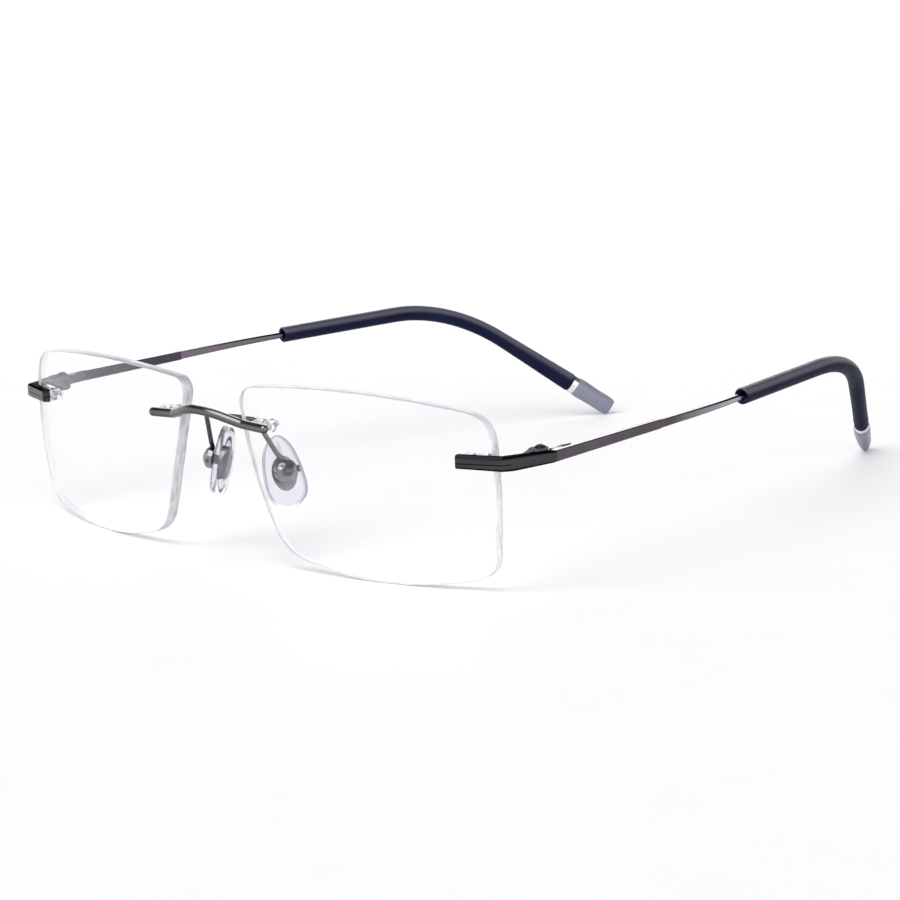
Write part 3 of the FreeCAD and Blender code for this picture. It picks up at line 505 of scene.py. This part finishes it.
# by the start of the node's name, where it differs from the others in its slot
PIECE_FINISHES = {
    "temple_leaf": metal("leaf_metal", (0.085, 0.082, 0.105), (0.12, 0.115, 0.14), (0.3, 0.45)),
    "pad_box": pad_box_metal(),
    "hinge_screw": rubber("screw_black", (0.006, 0.006, 0.007), (0.012, 0.012, 0.013),
                          (0.05, 0.11), 2200, 0.01 * MM, gloss=1.0),
}


def paint_nodes():
    """Give every CAD node its own finish, or that of its slot in the record."""
    for part in frame["record"]["subparts"]:
        name = part["node"]
        slot_finish = FINISHES[part["material_slot"]]
        finish = PIECE_FINISHES.get(name.rsplit("_", 1)[0], slot_finish)
        for slot in frame["nodes"][name].material_slots:
            slot.material = finish.material


# ---- pieces made here -----------------------------------------------------------------------------

def new_object(name, data):
    thing = bpy.data.objects.new(name, data)
    bpy.context.scene.collection.objects.link(thing)
    return thing


def welded(name):
    """A CAD node's surface as a mesh of its own, with its seams welded."""
    source = frame["nodes"][name]
    shell = bmesh.new()
    shell.from_mesh(source.data)
    bmesh.ops.transform(shell, matrix=source.matrix_world, verts=shell.verts)
    bmesh.ops.remove_doubles(shell, verts=shell.verts, dist=WELD_REACH)
    for face in shell.faces:
        face.smooth = True
    return shell


def as_mesh(shell, name, *finishes):
    """Turn a finished shell into a mesh, and let go of the shell."""
    mesh = bpy.data.meshes.new(name)
    shell.to_mesh(mesh)
    shell.free()
    for finish in finishes:
        mesh.materials.append(finish.material)
    return mesh


# ---- sleeves --------------------------------------------------------------------------------------

def sleeve_piece(side):
    """The sleeve's skin, smooth all along and sharp only at its ends."""
    name = "temple_sleeve_" + side
    shell = welded(name)
    bmesh.ops.dissolve_degenerate(shell, dist=SHORTEST_EDGE, edges=shell.edges)
    for edge in shell.edges:
        edge.smooth = edge.calc_face_angle(math.pi) < SLEEVE_CREASE
    mesh = as_mesh(shell, name + "_skin", FINISHES["sleeve_navy"])
    given_normals = mesh.attributes.get("custom_normal")
    if given_normals:
        mesh.attributes.remove(given_normals)
    piece = new_object(name + "_skin", mesh)
    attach(piece, "temple_" + side)
    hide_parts(name)


# ---- lenses ---------------------------------------------------------------------------------------

def lens_piece(side):
    """The lens as one glass body whose two polished faces and ground rim differ."""
    name = "lens_" + side
    centre = lens_ball_centre(side)
    shell = welded(name)
    for face in shell.faces:
        reach = [(v.co - centre).length for v in face.verts]
        front = all(abs(r - LENS_FRONT_RADIUS) < ON_THE_BALL for r in reach)
        back = all(abs(r - LENS_FRONT_RADIUS + LENS_THICKNESS) < ON_THE_BALL for r in reach)
        face.material_index = 0 if front or back else 1
    mesh = as_mesh(shell, name + "_glass", FINISHES["lens_clear"], LENS_EDGE)
    mesh.normals_split_custom_set(lens_normals(mesh, centre))
    piece = new_object(name + "_glass", mesh)
    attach(piece, "front")
    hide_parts(name)


def lens_normals(mesh, centre):
    """Corner normals that are exactly those of the ball on the polished faces, and as given on the rim."""
    given = [Vector(n.vector) for n in mesh.corner_normals]
    normals = []
    for polygon in mesh.polygons:
        for index in polygon.loop_indices:
            if polygon.material_index == 0:
                out = mesh.vertices[mesh.loops[index].vertex_index].co - centre
                normals.append(out.normalized() * (1 if out.dot(polygon.normal) > 0 else -1))
            else:
                normals.append(given[index])
    return normals


# ---- nose pads ------------------------------------------------------------------------------------

def closed_curve(points, steps):
    """A smooth closed line through points in the plane, with steps places between each two."""
    count = len(points)
    line = []
    for index in range(count):
        a, b, c, d = (points[(index + shift) % count] for shift in (-1, 0, 1, 2))
        for step in range(steps):
            t = step / steps
            line.append(0.5 * (2 * b + (c - a) * t + (2 * a - 5 * b + 4 * c - d) * t * t
                               + (3 * b - a - 3 * c + d) * t ** 3))
    return line


def pad_outline():
    """Drop-shaped outline as (Y, Z), wider at the lower end, straighter at the rear."""
    low = PAD_WIDTH_LOW / 2
    high = PAD_WIDTH_HIGH / 2
    half = PAD_LENGTH / 2
    shares = (
        (0, high, 1), (-0.86, high, 0.66), (-1, low, -0.12), (-0.84, low, -0.72),
        (0, low, -1), (0.84, low, -0.72), (0.93, low, -0.12), (0.72, high, 0.66),
    )
    corners = [Vector((y * width, z * half)) for y, width, z in shares]
    return closed_curve(corners, PAD_OUTLINE_STEPS)


def pad_profile():
    """Rings from inside the box side, round the edge, to the crown: depth and inset."""
    soft = 0.55 * MM
    flat = 1.4 * MM
    widest = 0.35 * MM
    reach = 2.6 * MM
    rings = [(PAD_BOX_SIDE, reach), (PAD_BOX_SIDE, flat)]
    for step in range(PAD_EDGE_STEPS + 1):
        turn = math.radians(90 * step / PAD_EDGE_STEPS)
        rings.append((PAD_BOX_SIDE - soft * (1 - math.cos(turn)), soft * (1 - math.sin(turn))))
    for step in range(PAD_CROWN_STEPS + 1):
        turn = math.radians(90 * step / PAD_CROWN_STEPS)
        rings.append((-widest - (PAD_NOSE_SIDE - widest) * math.sin(turn),
                      reach * (1 - math.cos(turn)) ** 1.3))
    return rings


def outward_normals(outline):
    normals = []
    for index in range(len(outline)):
        along = outline[(index + 1) % len(outline)] - outline[index - 1]
        normals.append(Vector((-along.y, along.x)).normalized())
    if sum(n.dot(p) for n, p in zip(normals, outline)) < 0:
        normals = [-n for n in normals]
    return normals


def nose_pad(side):
    """Closed soft pad, crowned on the nose side and flat round the insert."""
    outline = pad_outline()
    normals = outward_normals(outline)
    pad = bmesh.new()
    rings = []
    for depth, inset in pad_profile():
        places = [point - out * inset for point, out in zip(outline, normals)]
        rings.append([pad.verts.new((depth, place.x, place.y)) for place in places])
    count = len(outline)
    for lower, upper in zip(rings, rings[1:]):
        for index in range(count):
            after = (index + 1) % count
            pad.faces.new((lower[index], lower[after], upper[after], upper[index]))
    for ring, depth in ((rings[0], PAD_BOX_SIDE), (rings[-1], -PAD_NOSE_SIDE)):
        middle = pad.verts.new((depth, 0, 0))
        for index in range(count):
            pad.faces.new((ring[index], ring[(index + 1) % count], middle))
    place = Matrix.Translation(PAD_CENTRE - Vector((0, ORIGIN_TO_LENS, 0))) @ pad_turn()
    if side == "right":
        place = Matrix.Scale(-1, 4, (1, 0, 0)) @ place
    bmesh.ops.transform(pad, matrix=place, verts=pad.verts)
    bmesh.ops.recalc_face_normals(pad, faces=pad.faces)
    for face in pad.faces:
        face.smooth = True
    name = "nose_pad_" + side
    piece = new_object(name + "_soft", as_mesh(pad, name + "_soft", FINISHES["pad_clear"]))
    smooth = piece.modifiers.new("smooth", "SUBSURF")
    smooth.levels = 1
    smooth.render_levels = 1
    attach(piece, "pad_" + side)
    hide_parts(name)


# ---- stage ----------------------------------------------------------------------------------------

def floor():
    """A plain pale sheet, far wider than the view."""
    mesh = bpy.data.meshes.new("floor")
    reach = 6.0
    corners = [(-reach, -reach, 0), (reach, -reach, 0), (reach, reach, 0), (-reach, reach, 0)]
    mesh.from_pydata(corners, [], [(0, 1, 2, 3)])
    paper = Finish("floor_paper", Roughness=0.8, Specular_IOR_Level=0.1)
    fibres = paper.noise(FLOOR_FIBRES, detail=4.0)
    paper.put("Base Color", paper.blend(fibres, (0.90, 0.90, 0.905), (0.91, 0.91, 0.915)))
    mesh.materials.append(paper.material)
    ground = new_object("floor", mesh)


def softbox(name, place, target, width, height, power):
    data = bpy.data.lights.new(name, "AREA")
    data.shape = "RECTANGLE"
    data.size = width
    data.size_y = height
    data.energy = power
    lamp = new_object(name, data)
    lamp.location = place
    lamp.rotation_euler = (Vector(target) - Vector(place)).to_track_quat("-Z", "Y").to_euler()


def wide_sun(name, towards, width_degrees, strength):
    """A far, wide disc of light: the same everywhere on the floor."""
    data = bpy.data.lights.new(name, "SUN")
    data.angle = math.radians(width_degrees)
    data.energy = strength
    lamp = new_object(name, data)
    lamp.rotation_euler = Vector(towards).to_track_quat("Z", "Y").to_euler()


def pale_room():
    """World light: white up to just above the floor's edge, then darkening towards the ceiling."""
    world = bpy.data.worlds.new("studio")
    world.use_nodes = True
    nodes, links = world.node_tree.nodes, world.node_tree.links
    place = nodes.new("ShaderNodeTexCoord")
    split = nodes.new("ShaderNodeSeparateXYZ")
    ramp = nodes.new("ShaderNodeValToRGB")
    links.new(place.outputs["Generated"], split.inputs["Vector"])
    links.new(split.outputs["Z"], ramp.inputs["Fac"])
    wall, ceiling = ramp.color_ramp.elements
    wall.position = 0.24
    wall.color = (1.0, 1.0, 1.0, 1)
    ceiling.position = 0.5
    ceiling.color = (0.13, 0.13, 0.14, 1)
    links.new(ramp.outputs["Color"], nodes["Background"].inputs["Color"])
    nodes["Background"].inputs["Strength"].default_value = 1.05
    bpy.context.scene.world = world


def studio():
    """A pale room, three wide suns and a strip behind."""
    pale_room()
    wide_sun("key", (0.05, -0.64, 0.77), 56, 2.52)
    wide_sun("fill", (-0.5, 0.6, 0.62), 40, 0.55)
    wide_sun("side", (0.9, -0.25, 0.35), 50, 0.5)
    softbox("strip_behind", (-1.77, 1.77, 0.62), (0, 0, 0.02), 1.7, 0.75, 10)
    bpy.context.scene.view_settings.view_transform = "Standard"


def camera():
    data = bpy.data.cameras.new("camera")
    data.lens = CAMERA_LENS
    data.sensor_width = CAMERA_SENSOR
    data.clip_start = 0.01
    eye = new_object("camera", data)
    azimuth = Matrix.Rotation(math.radians(CAMERA_AZIMUTH), 4, "Z")
    elevation = Matrix.Rotation(math.radians(90 - CAMERA_ELEVATION), 4, "X")
    roll = Matrix.Rotation(math.radians(CAMERA_ROLL), 4, "Z")
    eye.matrix_world = Matrix.Translation(CAMERA_PLACE) @ azimuth @ elevation @ roll
    bpy.context.scene.camera = eye


paint_nodes()
for side in SIDES:
    lens_piece(side)
    nose_pad(side)
    sleeve_piece(side)
floor()
studio()
camera()
